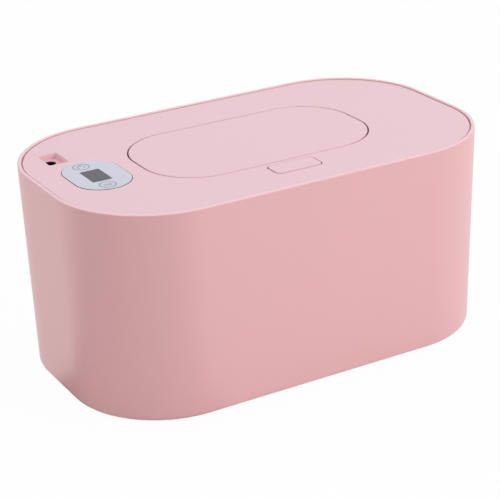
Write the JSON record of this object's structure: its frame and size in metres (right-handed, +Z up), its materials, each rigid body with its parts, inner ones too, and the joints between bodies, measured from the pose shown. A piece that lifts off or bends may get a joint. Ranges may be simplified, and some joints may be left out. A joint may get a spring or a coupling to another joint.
{
  "type": "baby wipe warmer",
  "caption": "Rounded tub with a lift-off heated lid, a flush sprung dispensing flap, a release button, a touch control panel and a power inlet.",
  "frame": {"origin": "middle of the foot pads' lower faces, on the surface that the warmer stands on", "axes": "+X along the long side to the end away from the control panel, -Y towards the long side with the release button, +Z up"},
  "size_m": [0.21, 0.125, 0.099],
  "materials": {
    "shell_plastic": "fine satin moulding, pale pink",
    "lid_plastic": "fine satin moulding, paler pink",
    "flap_plastic": "fine satin moulding, paler pink",
    "liner_plastic": "smooth white polypropylene",
    "tray_plastic": "smooth pink moulding",
    "foot_rubber": "matt grey rubber",
    "silicone": "translucent white silicone",
    "screw_steel": "zinc plated",
    "spring_steel": "drawn spring wire",
    "foam": "white closed-cell foam",
    "heater_film": "amber film",
    "heater_aluminium": "brushed sheet",
    "black_parts": "black moulding",
    "fuse_metal": "tinned",
    "lead_insulation": "black insulation",
    "circuit_board": "green solder mask",
    "panel_acrylic": "back-printed acrylic, pale grey",
    "smoked_window": "smoked grey window",
    "pin_brass": "nickel brass",
    "latch_plastic": "acetal"
  },
  "bodies": {
    "housing": {"tub": "shell_plastic", "inner_liner": "liner_plastic", "foot_pads": "foot_rubber", "base_screws": "screw_steel"},
    "lid": {"lid_top": "lid_plastic", "inlet_floor": "lid_plastic", "lid_base": "tray_plastic", "lid_seal": "silicone", "lid_screws": "screw_steel", "insulation_pad": "foam", "heating_film": "heater_film", "heater_plate": "heater_aluminium", "plate_screws": "screw_steel", "thermistor": "black_parts", "thermal_fuse": "fuse_metal", "heater_leads": "lead_insulation", "outlet_gasket": "silicone", "main_board": "circuit_board", "board_parts": "black_parts", "board_screws": "screw_steel", "display_module": "black_parts", "touch_springs": "spring_steel", "control_panel": "panel_acrylic", "display_window": "smoked_window", "power_socket": "black_parts", "socket_pin": "pin_brass", "latch_hook": "latch_plastic", "button_springs": "spring_steel", "hinge_pin": "spring_steel", "flap_spring": "spring_steel"},
    "flap": {"flap": "flap_plastic", "flap_seal": "silicone", "flap_foam": "foam"},
    "button": {"release_button": "flap_plastic"}
  },
  "joints": [
    {"name": "lid_lift", "type": "slide", "parent": "housing", "child": "lid", "axis": [0, 0, 1], "range_m": [0, 0.06]},
    {"name": "flap_hinge", "type": "hinge", "parent": "lid", "child": "flap", "pos_m": [0, 0.0385, 0.0943], "axis": [-1, 0, 0], "range_deg": [0, 95], "deforming": ["flap_spring", "latch_hook"]},
    {"name": "button_press", "type": "slide", "parent": "lid", "child": "button", "axis": [0, 0, -1], "range_m": [0, 0.002], "stiffness_N_per_m": 250, "springref_m": -0.0015, "deforming": ["button_springs", "latch_hook"]}
  ]
}
